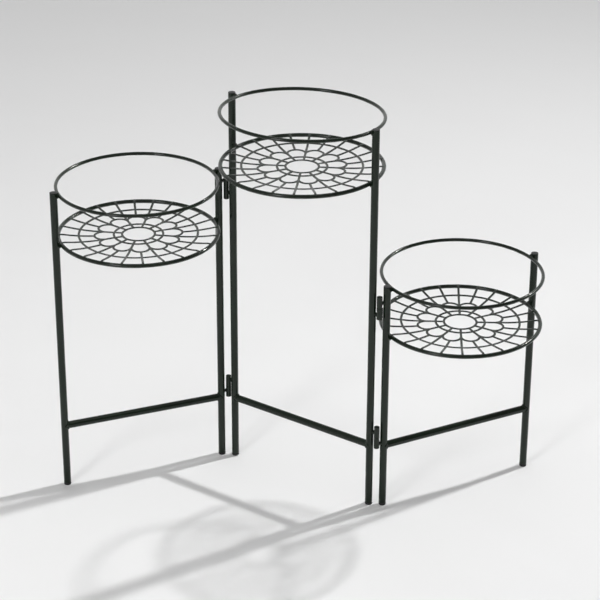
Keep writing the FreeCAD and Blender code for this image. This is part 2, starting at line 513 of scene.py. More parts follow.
def finished(work: bmesh.types.BMesh, name: str) -> Mesh:
    """Mesh of a closed shell that faces outwards. The work is used up.

    Args:
        work: The shell.
        name: Name of the mesh.

    Returns:
        The mesh.
    """
    mesh = bpy.data.meshes.new(name)
    work.to_mesh(mesh)
    work.free()
    outward(mesh)
    return mesh


def wire_mesh(paths: Sequence[Sequence[Vector]], closed: bool) -> Mesh:
    """Edges along paths of points.

    Args:
        paths: Points of each path.
        closed: Whether each path runs back to its start.

    Returns:
        A mesh of edges only.
    """
    points: list[Vector] = []
    edges: list[tuple[int, int]] = []
    for path in paths:
        first = len(points)
        points += path
        edges += [(number, number + 1) for number in range(first, len(points) - 1)]
        if closed:
            edges.append((len(points) - 1, first))
    mesh = bpy.data.meshes.new("wire")
    mesh.from_pydata(points, edges, [])
    return mesh


def join_wires(*wires: Mesh) -> Mesh:
    """One mesh of several meshes of edges, which are used up.

    Args:
        wires: Meshes of edges.

    Returns:
        A mesh of edges only.
    """
    work = bmesh.new()
    for wire in wires:
        work.from_mesh(wire)
        bpy.data.meshes.remove(wire)
    mesh = bpy.data.meshes.new("wire")
    work.to_mesh(mesh)
    work.free()
    return mesh


def rounded(corners: Corners, steps: int = 5) -> Outline:
    """Outline with its corners rounded.

    Args:
        corners: Radius from the axis, height, and rounding of each corner, in order.
        steps: Stretches in each rounding.

    Returns:
        Points of the outline as radius and height.
    """
    outline: Outline = []
    for number, (radius, height, rounding) in enumerate(corners):
        corner = Vector((radius, height))
        if not rounding:
            outline.append((radius, height))
            continue
        before = Vector(corners[number - 1][:2]) - corner
        after = Vector(corners[(number + 1) % len(corners)][:2]) - corner
        half_angle = before.angle(after) / 2
        start = corner + before.normalized() * (rounding / math.tan(half_angle))
        end = corner + after.normalized() * (rounding / math.tan(half_angle))
        middle = (before.normalized() + after.normalized()).normalized()
        centre = corner + middle * (rounding / math.sin(half_angle))
        for step in range(steps + 1):
            share = step / steps
            spoke = (start - centre).slerp(end - centre, share)
            outline.append(tuple(centre + spoke.normalized() * rounding))
    return outline


def lathe(outline: Outline, steps: int = 48) -> Mesh:
    """Closed shell of an outline turned about Z.

    Args:
        outline: Points as radius and height. An outline that starts and ends on the axis closes there.
        steps: Faces round the axis.

    Returns:
        The turned mesh.
    """
    work = bmesh.new()
    rings = []
    for radius, height in outline:
        count = 1 if radius < ON_AXIS else steps
        angles = [math.tau * number / steps for number in range(count)]
        rings.append([work.verts.new((radius * math.cos(a), radius * math.sin(a), height)) for a in angles])
    pairs = list(zip(rings, rings[1:]))
    if len(rings[0]) > 1:
        pairs.append((rings[-1], rings[0]))
    for lower, upper in pairs:
        for number in range(steps):
            following = (number + 1) % steps
            corners = [lower[number % len(lower)], lower[following % len(lower)],
                       upper[following % len(upper)], upper[number % len(upper)]]
            face = list(dict.fromkeys(corners))
            if len(face) > 2:
                work.faces.new(face)
    return finished(work, "turned")


def saddle(reach: float, toward: int, seat_radius: float, radius: float, steps: int) -> list[Vector]:
    """Line where a round bar along X meets an upright round post.

    Args:
        reach: Place of the post's axis on X.
        toward: 1 if the bar comes from lower X, -1 from higher X.
        seat_radius: Radius of the post.
        radius: Radius of the bar.
        steps: Points on the line.

    Returns:
        Points round the bar.
    """
    points = []
    for number in range(steps):
        angle = math.tau * number / steps
        across, up = radius * math.cos(angle), radius * math.sin(angle)
        depth = math.sqrt(max(seat_radius ** 2 - across ** 2, 0))
        points.append(Vector((reach - toward * depth, across, up)))
    return points


def coped_bar(ends: Ends, radius: float, bore: float = 0, steps: int = 40) -> Mesh:
    """Round bar or tube along X between two upright posts, its ends following their curve.

    Args:
        ends: Place on X and radius of the post at the low end and at the high end.
        radius: Radius of the bar.
        bore: Radius of its bore, or 0 for a solid bar.
        steps: Faces round the bar.

    Returns:
        A closed mesh.
    """
    work = bmesh.new()

    def ring(end: int, size: float) -> list[bmesh.types.BMVert]:
        """Points where a round of that radius meets the post at one end."""
        place, seat = ends[end]
        return [work.verts.new(point) for point in saddle(place, (-1, 1)[end], seat, size, steps)]

    loops = [ring(0, radius), ring(1, radius)]
    if bore:
        loops += [ring(1, bore), ring(0, bore)]
        loops.append(loops[0])
    else:
        for loop in loops:
            work.faces.new(loop)
    for lower, upper in zip(loops, loops[1:]):
        for number in range(steps):
            following = (number + 1) % steps
            work.faces.new((lower[number], lower[following], upper[following], upper[number]))
    return finished(work, "bar")


# Node trees of what repeats or follows a path


def ring_tree() -> GeometryTree:
    """Round rod bent to a closed ring.

    Returns:
        The tree, which starts from an empty mesh.
    """
    tree = GeometryTree("rod_ring", {"Ring Radius": FLOAT, "Rod Radius": FLOAT, "Steps": INT, "Sides": INT})
    given = tree.given
    ring = tree.circle(given["Steps"], given["Ring Radius"])
    section = tree.circle(given["Sides"], given["Rod Radius"])
    tree.close(tree.add("GeometryNodeCurveToMesh", {"Curve": ring, "Profile Curve": section})[0])
    return tree


def bead_tree() -> GeometryTree:
    """Weld beads along paths, with ripples, and with rounded ends where a path is open.

    Returns:
        The tree, which starts from a mesh of edges.
    """
    tree = GeometryTree("weld_bead", {"Bead Radius": FLOAT, "Ripple Share": FLOAT, "Ripple Pitch": FLOAT})
    given = tree.given
    path = tree.add("GeometryNodeMeshToCurve", {"Mesh": given["Geometry"]})[0]
    step = tree.calc("DIVIDE", given["Ripple Pitch"], RIPPLE_STEPS)
    fine = tree.add("GeometryNodeResampleCurve", {"Curve": path, "Length": step}, mode="LENGTH")[0]
    along = tree.add("GeometryNodeSplineParameter")
    phase = tree.calc("DIVIDE", tree.calc("MULTIPLY", along["Length"], math.tau), given["Ripple Pitch"])
    ripple = tree.calc("MULTIPLY_ADD", tree.calc("SINE", phase), given["Ripple Share"], 1.0)
    off_middle = tree.calc("ABSOLUTE", tree.calc("MULTIPLY_ADD", along["Factor"], 2.0, -1.0))
    bluntness = tree.calc("POWER", off_middle, BEAD_END_POWER)
    taper = tree.calc("SQRT", tree.calc("SUBTRACT", BEAD_END_REACH, bluntness))
    cyclic = tree.add("GeometryNodeInputSplineCyclic")[0]
    ends = {"Switch": cyclic, "False": taper, "True": 1.0}
    width = tree.add("GeometryNodeSwitch", ends, input_type="FLOAT")[0]
    bead = {"Curve": fine, "Profile Curve": tree.circle(BEAD_SIDES, given["Bead Radius"]),
            "Scale": tree.calc("MULTIPLY", ripple, width), "Fill Caps": True}
    tree.close(tree.add("GeometryNodeCurveToMesh", bead)[0])
    return tree


def turned_copies(tree: GeometryTree, shape: Socket, count: Socket, points: Socket) -> Socket:
    """Copies of a shape on points, each turned one step further about Z.

    Args:
        tree: Tree that is being written.
        shape: The shape to copy.
        count: Number of copies in a full turn.
        points: Points that carry the copies.

    Returns:
        The copies as instances.
    """
    number = tree.add("GeometryNodeInputIndex")[0]
    angle = tree.calc("MULTIPLY", number, tree.calc("DIVIDE", math.tau, count))
    turn = tree.add("FunctionNodeAxisAngleToRotation", {"Axis": (0, 0, 1), "Angle": angle})[0]
    spread = {"Points": points, "Instance": shape, "Rotation": turn}
    return tree.add("GeometryNodeInstanceOnPoints", spread)[0]


def rosette_tree() -> GeometryTree:
    """Rosette cut from sheet: one sector's outline copied round, filled, dished and given its thickness.

    Returns:
        The tree, which starts from the edges of one sector.
    """
    tree = GeometryTree("rosette_grille", {
        "Sectors": INT, "Sheet": FLOAT, "Dip": FLOAT, "Floor Radius": FLOAT, "Bend Radius": FLOAT,
        "Rim Radius": FLOAT, "Press Length": FLOAT, "Press Depth": FLOAT, "Weld Distance": FLOAT,
    })
    given = tree.given
    centre = tree.add("GeometryNodePoints", {"Count": given["Sectors"]})[0]
    sectors = turned_copies(tree, given["Geometry"], given["Sectors"], centre)
    loose = tree.add("GeometryNodeRealizeInstances", {"Geometry": sectors})[0]
    joints = {"Geometry": loose, "Distance": given["Weld Distance"]}
    outline = tree.add("GeometryNodeMergeByDistance", joints)[0]
    curves = tree.add("GeometryNodeMeshToCurve", {"Mesh": outline})[0]
    flat = tree.add("GeometryNodeFillCurve", {"Curve": curves}, mode="TRIANGLES")[0]

    # Flat floor, then an arc that rises to the rim, with the spoke tips pressed into the rod
    spot = tree.add("GeometryNodeInputPosition")[0]
    radius = tree.add("ShaderNodeVectorMath", {0: spot}, operation="LENGTH")["Value"]
    past_floor = tree.calc("MAXIMUM", tree.calc("SUBTRACT", radius, given["Floor Radius"]), 0.0)
    bend_squared = tree.calc("POWER", given["Bend Radius"], 2.0)
    drop = tree.calc("SQRT", tree.calc("SUBTRACT", bend_squared, tree.calc("POWER", past_floor, 2.0)))
    dish = tree.calc("SUBTRACT", tree.calc("SUBTRACT", given["Bend Radius"], drop), given["Dip"])
    press_start = tree.calc("SUBTRACT", given["Rim Radius"], given["Press Length"])
    press = tree.eased(radius, press_start, given["Rim Radius"], 0.0, given["Press Depth"])
    level = tree.calc("SUBTRACT", dish, press)
    lift = tree.add("ShaderNodeCombineXYZ", {"Z": level})[0]
    dished = tree.add("GeometryNodeSetPosition", {"Geometry": flat, "Offset": lift})[0]

    # Thickness upwards, with the underside closed
    thick = {"Mesh": dished, "Offset": (0, 0, 1), "Offset Scale": given["Sheet"], "Individual": False}
    upper = tree.add("GeometryNodeExtrudeMesh", thick)["Mesh"]
    under = tree.add("GeometryNodeFlipFaces", {"Mesh": dished})[0]
    joined = tree.tree.nodes.new("GeometryNodeJoinGeometry")
    tree.tree.links.new(upper, joined.inputs[0])
    tree.tree.links.new(under, joined.inputs[0])
    shell = {"Geometry": joined.outputs[0], "Distance": given["Weld Distance"]}
    tree.close(tree.add("GeometryNodeMergeByDistance", shell)[0])
    return tree


def tack_tree() -> GeometryTree:
    """Small flat weld spots, one at each spoke's tip round the rim.

    Returns:
        The tree, which starts from an empty mesh.
    """
    tree = GeometryTree("spoke_tacks", {
        "Count": INT, "Ring Radius": FLOAT, "Length": FLOAT, "Width Share": FLOAT, "Height Share": FLOAT,
    })
    given = tree.given
    circle = {"Vertices": given["Count"], "Radius": given["Ring Radius"]}
    ring = tree.add("GeometryNodeMeshCircle", circle)[0]
    sphere = {"Segments": TACK_SEGMENTS, "Rings": TACK_RINGS, "Radius": given["Length"]}
    ball = tree.add("GeometryNodeMeshUVSphere", sphere)[0]
    shares = {"X": 1.0, "Y": given["Width Share"], "Z": given["Height Share"]}
    flat = tree.add("ShaderNodeCombineXYZ", shares)[0]
    spot = tree.add("GeometryNodeTransform", {"Geometry": ball, "Scale": flat})[0]
    tree.close(turned_copies(tree, spot, given["Count"], ring))
    return tree


RINGS = ring_tree()
BEADS = bead_tree()
ROSETTES = rosette_tree()
TACKS = tack_tree()


# Sub-assemblies


@dataclass
class Piece:
    """One finished piece and what the frame has to know about it."""

    name: str
    mesh: Mesh
    body: str
    slot: Slot
    stands_for: tuple[str, ...] = ()

    def settle(self) -> None:
        """Link the piece, let it ride on its body and hide the solids that it stands for."""
        self.mesh.name = self.name
        thing = linked(self.name, self.mesh)
        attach(thing, self.body)
        if self.stands_for:
            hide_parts(*self.stands_for)
        log.info("%s: %d faces on %s", self.name, len(self.mesh.polygons), self.body)


def dressed(mesh: Mesh, finish: Finish, matrix: Matrix) -> Mesh:
    """Put a mesh in its place and give it its finish.

    Args:
        mesh: Mesh that is changed in place.
        finish: Its finish.
        matrix: From the mesh's own frame to the whole part's frame.

    Returns:
        The same mesh.
    """
    mesh.transform(matrix)
    mesh.materials.clear()
    mesh.materials.append(finish.material())
    return mesh


def plan_centre(node: str) -> Vector:
    """Middle of a node in plan, on the floor."""
    low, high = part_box(node)
    return Vector(((low.x + high.x) / 2, (low.y + high.y) / 2, 0))


def half_width(node: str) -> float:
    """Half the width of a node's box, which is the radius of an upright round node."""
    low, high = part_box(node)
    return (high.x - low.x) / 2


def half_depth(node: str) -> float:
    """Half the height of a node's box, which is the radius of a level rod or bar."""
    low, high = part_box(node)
    return (high.z - low.z) / 2


def mid_height(node: str) -> float:
    """Height of the middle of a node's box."""
    low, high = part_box(node)
    return (low.z + high.z) / 2


@dataclass(frozen=True)
class PanelPlace:
    """Where one panel stands and the sizes that its pieces share, read from the frame."""

    name: str
    centre: Vector
    heading: float
    half_spacing: float
    post_radius: float
    height: float

    @classmethod
    def read(cls, name: str) -> "PanelPlace":
        """Read a panel's place from its feet and caps.

        Args:
            name: Name of the panel's body.

        Returns:
            The panel's place and sizes.
        """
        feet = {side: f"{name}_{side.word}_foot" for side in Side}
        left, right = plan_centre(feet[Side.LEFT]), plan_centre(feet[Side.RIGHT])
        along = right - left
        return cls(name, (left + right) / 2, math.atan2(along.y, along.x), along.length / 2,
                   half_width(feet[Side.LEFT]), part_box(f"{name}_left_cap")[1].z)

    @property
    def matrix(self) -> Matrix:
        """From the panel's own frame, with X along the panel, to the whole part's frame."""
        return Matrix.Translation(self.centre) @ Matrix.Rotation(self.heading, 4, "Z")

    def at(self, x: float = 0, z: float = 0) -> Matrix:
        """From a spot in the panel's plane to the whole part's frame."""
        return self.matrix @ Matrix.Translation((x, 0, z))

    def piece(self, word: str, mesh: Mesh, slot: Slot, *nodes: str) -> Piece:
        """A piece that is named after the panel and stands for the given solids."""
        return Piece(f"{self.name}_{word}", mesh, self.name, slot, nodes)


@dataclass(frozen=True)
class WeldStyle:
    """Size and ripple of a hand-laid weld bead, and the points on its path where it runs round a bar."""

    radius: float
    ripple_share: float = 0.07
    ripple_pitch: float = 0.0014
    steps: int = 72

    def lay(self, paths: Mesh, finish: Finish, spot: Matrix) -> Mesh:
        """Beads along a mesh of edges, put in their place.

        Args:
            paths: Mesh of edges, which is used up.
            finish: Finish of the beads.
            spot: Place of the beads.

        Returns:
            The beads in their place.
        """
        sizes = {"Bead Radius": self.radius, "Ripple Share": self.ripple_share,
                 "Ripple Pitch": self.ripple_pitch}
        return BEADS.bake(paths, finish, spot, sizes)

    def round_ends(self, ends: Ends, radius: float, finish: Finish, spot: Matrix) -> Mesh:
        """Beads round both ends of a coped bar.

        Args:
            ends: Ends of the bar, as coped_bar() takes them.
            radius: Radius of the bar.
            finish: Finish of the beads.
            spot: Place of the bar.

        Returns:
            The beads in their place.
        """
        seams = [saddle(reach, side.value, seat, radius, self.steps)
                 for side, (reach, seat) in zip(Side, ends)]
        return self.lay(wire_mesh(seams, True), finish, spot)


@dataclass(frozen=True)
class TubeFrame:
    """Posts, end plugs and lower rail of one panel."""

    place: PanelPlace
    coat: PowderCoat
    plastic: MouldedPlastic
    wall: float = 0.0012
    tube_round: float = 0.0004
    foot_round: float = 0.0012
    foot_hollow: float = 0.0006
    hollow_round: float = 0.00025
    cap_round: float = 0.0009
    cap_crown: float = 0.00035
    gate_radius: float = 0.0011
    gate_depth: float = 0.0003
    gate_round: float = 0.00012
    weld: WeldStyle = WeldStyle(radius=0.0016)

    @property
    def bore(self) -> float:
        """Radius of the posts' bore, which the stems of the plugs fill."""
        return self.place.post_radius - self.wall

    def node(self, side: Side, word: str) -> str:
        """Name of a solid on one post."""
        return f"{self.place.name}_{side.word}_{word}"

    def turned(self, side: Side, words: tuple[str, str], slot: Slot, corners: Corners) -> Piece:
        """Piece that is turned about the axis of one post.

        Args:
            side: The post that it belongs to.
            words: Last word of the solid's name and last words of the piece's name.
            slot: Its material slot, which also gives its finish.
            corners: Radius, height and rounding of each corner of its outline.

        Returns:
            The piece in its place.
        """
        finish = self.coat if slot is Slot.COAT else self.plastic
        spot = self.place.at(side.value * self.place.half_spacing)
        mesh = dressed(lathe(rounded(corners)), finish, spot)
        return self.place.piece(f"{side.word}_{words[1]}", mesh, slot, self.node(side, words[0]))

    def post(self, side: Side) -> Piece:
        """Round tube with softly rounded ends.

        Args:
            side: Which of the two posts.

        Returns:
            The post.
        """
        low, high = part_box(self.node(side, "post"))
        outer = self.place.post_radius
        return self.turned(side, ("post", "upright"), Slot.COAT, [
            (self.bore, low.z, 0), (outer, low.z, self.tube_round),
            (outer, high.z, self.tube_round), (self.bore, high.z, 0),
        ])

    def foot(self, side: Side) -> Piece:
        """Foot plug: rounded lip on the floor, hollowed underneath, with a plain stem up the tube.

        Args:
            side: The post that it belongs to.

        Returns:
            The foot plug.
        """
        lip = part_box(self.node(side, "post"))[0].z
        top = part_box(self.node(side, "foot"))[1].z
        outer = self.place.post_radius
        hollow = outer - 2 * self.foot_round
        return self.turned(side, ("foot", "foot_plug"), Slot.PLUGS, [
            (0, self.foot_hollow, 0), (hollow, self.foot_hollow, self.hollow_round),
            (hollow, 0, self.hollow_round), (outer, 0, self.foot_round), (outer, lip, self.tube_round),
            (self.bore, lip, 0), (self.bore, top, self.tube_round), (0, top, 0),
        ])

    def cap(self, side: Side) -> Piece:
        """Top plug: slightly crowned lid with a moulding gate mark in its middle.

        Args:
            side: The post that it belongs to.

        Returns:
            The top plug.
        """
        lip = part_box(self.node(side, "post"))[1].z
        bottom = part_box(self.node(side, "cap"))[0].z
        outer, top = self.place.post_radius, self.place.height
        shoulder, gate_floor = top - self.cap_crown, top - self.gate_depth
        return self.turned(side, ("cap", "top_plug"), Slot.PLUGS, [
            (0, bottom, 0), (self.bore, bottom, self.tube_round), (self.bore, lip, 0),
            (outer, lip, self.tube_round), (outer, shoulder, self.cap_round),
            (self.gate_radius, top, self.gate_round), (self.gate_radius, gate_floor, 0), (0, gate_floor, 0),
        ])

    def rail(self) -> tuple[Piece, Piece]:
        """Lower rail, coped onto the posts, and the weld round each of its ends.

        Returns:
            The rail and its welds.
        """
        node = f"{self.place.name}_crossbar"
        radius = half_depth(node)
        spot = self.place.at(z=mid_height(node))
        ends = [(side.value * self.place.half_spacing, self.place.post_radius) for side in Side]
        tube = dressed(coped_bar(ends, radius, radius - self.wall), self.coat, spot)
        welds = self.weld.round_ends(ends, self.place.post_radius - ON_AXIS, self.coat, spot)
        return (
            self.place.piece("lower_rail", tube, Slot.COAT, node),
            self.place.piece("rail_welds", welds, Slot.COAT),
        )

    def build(self) -> Iterator[Piece]:
        """All pieces of the tube frame.

        Yields:
            Post, foot plug and top plug on each side, then the rail and its welds.
        """
        for side in Side:
            yield self.post(side)
            yield self.foot(side)
            yield self.cap(side)
        yield from self.rail()


@dataclass(frozen=True)
class RodRing:
    """A ring of round rod between the posts, with its weld beads."""

    place: PanelPlace
    node: str
    piece: str
    rod_radius: float
    coat: PowderCoat
    steps: int = 216
    sides: int = 20
    bead: WeldStyle = WeldStyle(radius=0.0026)
    bead_length: float = 0.008
    bead_drop_share: float = 0.8
    bead_points: int = 12

    @property
    def radius(self) -> float:
        """Radius of the ring's centre line, so that the rod lies against both posts."""
        return self.place.half_spacing - self.place.post_radius - self.rod_radius

    @property
    def height(self) -> float:
        """Height of the ring's centre."""
        return mid_height(self.node)

    @property
    def lean(self) -> float:
        """Lean about the line between the posts, from the slope of the solid across the panel.

        Returns:
            Angle of the lean.
        """
        inverse = self.place.at(z=self.height).inverted()
        points = [inverse @ vertex.co for vertex in frame["nodes"][self.node].data.vertices]
        return math.atan2(sum(p.y * p.z for p in points), sum(p.y ** 2 for p in points))

    def ring(self) -> Piece:
        """The bent rod.

        Returns:
            The ring.
        """
        sizes = {"Ring Radius": self.radius, "Rod Radius": self.rod_radius, "Steps": self.steps,
                 "Sides": self.sides}
        spot = self.place.at(z=self.height) @ Matrix.Rotation(self.lean, 4, "X")
        mesh = RINGS.bake(bpy.data.meshes.new("path"), self.coat, spot, sizes)
        return self.place.piece(self.piece, mesh, Slot.COAT, self.node)

    def beads(self) -> Piece:
        """Weld beads in the corner between the ring and each post, below it and above it.

        Returns:
            The four beads as one piece.
        """
        contact = self.radius + self.rod_radius
        half_turn = self.bead_length / 2 / contact
        paths = []
        for side in Side:
            for level in (-1, 1):
                path = []
                for number in range(self.bead_points):
                    angle = half_turn * (2 * number / (self.bead_points - 1) - 1)
                    path.append(Vector((side.value * contact * math.cos(angle), contact * math.sin(angle),
                                        level * self.rod_radius * self.bead_drop_share)))
                paths.append(path)
        mesh = self.bead.lay(wire_mesh(paths, False), self.coat, self.place.at(z=self.height))
        node = self.node.replace("_tray_rim", "_tray") + "_welds"
        return self.place.piece(f"{self.piece}_welds", mesh, Slot.COAT, node)

    def build(self) -> Iterator[Piece]:
        """The ring and its welds."""
        yield self.ring()
        yield self.beads()


@dataclass(frozen=True)
class Rosette:
    """Rosette grille of one tray, cut from dished sheet: eye, collar, petals, band and spokes."""

    rim: RodRing
    coat: PowderCoat
    sheet: float = 0.0015
    bar: float = 0.004
    tip_reach: float = -0.0008
    press_length: float = 0.007
    press_depth: float = 0.0011
    main_spokes: int = 12
    floor_share: float = 0.5
    eye_share: float = 0.205
    collar_share: float = 0.308
    petal_tip_share: float = 0.55
    band_share: float = 0.745
    spacing: float = 0.0026
    edge_round: float = 0.00035
    weld_distance: float = 0.00002
    tack_length: float = 0.0024
    tack_width_share: float = 1.1
    tack_height_share: float = 0.4
    tack_drop: float = 0.0005

    @property
    def place(self) -> PanelPlace:
        """The panel that carries the tray."""
        return self.rim.place

    @property
    def node(self) -> str:
        """The grille's solid."""
        return f"{self.place.name}_tray_grille"

    def straight(self, start: Vector, end: Vector) -> list[Vector]:
        """Points from start up to, but without, the end."""
        count = max(1, round((end - start).length / self.spacing))
        return [start.lerp(end, number / count) for number in range(count)]

    def curved(self, start: Vector, end: Vector, centre: Vector = Vector(),
               sweep: float = 0) -> list[Vector]:
        """Points on an arc from start up to, but without, the end.

        Args:
            start: First point.
            end: Point that the arc leads to.
            centre: Centre of the arc.
            sweep: Angle of the arc, or 0 for the short way round.

        Returns:
            Points on the arc.
        """
        first, last = start - centre, end - centre
        if not sweep:
            sweep = math.remainder(math.atan2(last.y, last.x) - math.atan2(first.y, first.x), math.tau)
        count = max(2, round(abs(sweep) * first.length / self.spacing))
        return [centre + Matrix.Rotation(sweep * number / count, 3, "Z") @ first for number in range(count)]

    def in_turn(self, *corners: Vector) -> list[Vector]:
        """Points through the corners up to the last one, by a straight line and an arc in turn.

        Args:
            corners: Corners of the path, in order.

        Returns:
            Points on the path.
        """
        path: list[Vector] = []
        for number, (start, end) in enumerate(zip(corners, corners[1:])):
            path += self.curved(start, end) if number % 2 else self.straight(start, end)
        return path

    @staticmethod
    def beside(along: float, across: float, angle: float) -> Vector:
        """Point given along and across a spoke's own direction."""
        return Matrix.Rotation(angle, 3, "Z") @ Vector((along, across, 0))

    def on_circle(self, radius: float, across: float, angle: float) -> Vector:
        """Point where a line beside a spoke crosses a circle about the eye."""
        return self.beside(math.sqrt(radius ** 2 - across ** 2), across, angle)

    def openings(self) -> list[list[Vector]]:
        """Outlines of the four openings between one main spoke and the next.

        Returns:
            Points of each closed outline.
        """
        rim, half_bar = self.rim.radius, self.bar / 2
        half_step = math.pi / self.main_spokes
        after = 2 * half_step
        eye_edge = rim * self.eye_share + half_bar
        collar_inside = rim * self.collar_share - half_bar
        collar_outside = rim * self.collar_share + half_bar
        band_inside = rim * self.band_share - half_bar
        petal_reach = rim * self.petal_tip_share / (1 + math.sin(half_step))
        petal_radius = petal_reach * math.sin(half_step)
        petal_centre = self.beside(petal_reach, 0, half_step)
        foot = petal_reach * math.cos(half_step)

        # Between the eye and the collar
        inner, outer = self.on_circle(eye_edge, half_bar, 0), self.on_circle(collar_inside, half_bar, 0)
        far_outer = self.on_circle(collar_inside, -half_bar, after)
        far_inner = self.on_circle(eye_edge, -half_bar, after)
        collar = self.in_turn(inner, outer, far_outer, far_inner, inner)

        # Inside the petal
        root = self.on_circle(collar_outside, half_bar, 0)
        far_root = self.on_circle(collar_outside, -half_bar, after)
        spring, far_spring = self.beside(foot, half_bar, 0), self.beside(foot, -half_bar, after)
        petal = self.straight(root, spring)
        petal += self.curved(spring, far_spring, petal_centre, math.pi + after)
        petal += self.in_turn(far_spring, far_root, root)

        # Each side of the short spoke, between the petal and the band
        edge = petal_radius + half_bar
        crown = petal_reach + math.sqrt(edge ** 2 - half_bar ** 2)
        shoulder = foot + math.sqrt(edge ** 2 - (petal_radius - half_bar) ** 2)
        loops = [collar, petal]
        for spoke, turn in ((0, 1), (after, -1)):
            low = self.beside(shoulder, turn * half_bar, spoke)
            high = self.on_circle(band_inside, turn * half_bar, spoke)
            far = self.on_circle(band_inside, -turn * half_bar, half_step)
            near = self.beside(crown, -turn * half_bar, half_step)
            loops.append(self.in_turn(low, high, far, near) + self.curved(near, low, petal_centre))
        return loops

    def border(self) -> list[list[Vector]]:
        """One sector's share of the eye's edge and of the outer edge with its two spoke tips.

        Returns:
            Points of each open path.
        """
        rim, half_bar = self.rim.radius, self.bar / 2
        half_step = math.pi / self.main_spokes
        eye = rim * self.eye_share - half_bar
        start, end = self.on_circle(eye, 0, 0), self.on_circle(eye, 0, 2 * half_step)
        eye_edge = self.curved(start, end) + [end]
        band_edge, tip = rim * self.band_share + half_bar, rim + self.tip_reach
        outer: list[Vector] = []
        for angle in (0, half_step):
            root, out = self.on_circle(band_edge, -half_bar, angle), self.on_circle(tip, -half_bar, angle)
            back_out, back = self.on_circle(tip, half_bar, angle), self.on_circle(band_edge, half_bar, angle)
            following = self.on_circle(band_edge, -half_bar, angle + half_step)
            outer += self.in_turn(root, out, back_out, back, following)
        return [eye_edge, outer + [following]]

    def grille(self) -> Piece:
        """The cut and dished sheet.

        Returns:
            The rosette.
        """
        dip = self.rim.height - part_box(self.node)[0].z
        floor = self.rim.radius * self.floor_share
        run = self.rim.radius - floor
        rod = self.rim.rod_radius
        bend = (run ** 2 + dip ** 2 - rod ** 2) / (2 * (rod + dip))
        sector = join_wires(wire_mesh(self.openings(), True), wire_mesh(self.border(), False))
        sizes = {"Sectors": self.main_spokes, "Sheet": self.sheet, "Dip": dip, "Floor Radius": floor,
                 "Bend Radius": bend, "Rim Radius": self.rim.radius, "Press Length": self.press_length,
                 "Press Depth": self.press_depth, "Weld Distance": self.weld_distance}
        spot = self.place.at(z=self.rim.height)
        mesh = ROSETTES.bake(sector, self.coat, spot, sizes, self.edge_round)
        return self.place.piece("rosette", mesh, Slot.COAT, self.node)

    def tacks(self) -> Piece:
        """Weld spots that hold the spoke tips on the rim.

        Returns:
            All of one tray's spots as one piece.
        """
        sizes = {"Count": 2 * self.main_spokes, "Ring Radius": self.rim.radius + self.tip_reach,
                 "Length": self.tack_length, "Width Share": self.tack_width_share,
                 "Height Share": self.tack_height_share}
        level = self.rim.height + self.rim.rod_radius - self.tack_drop
        mesh = TACKS.bake(bpy.data.meshes.new("spots"), self.coat, self.place.at(z=level), sizes)
        return self.place.piece("spoke_tacks", mesh, Slot.COAT)

    def build(self) -> Iterator[Piece]:
        """The grille and its weld spots."""
        yield self.grille()
        yield self.tacks()


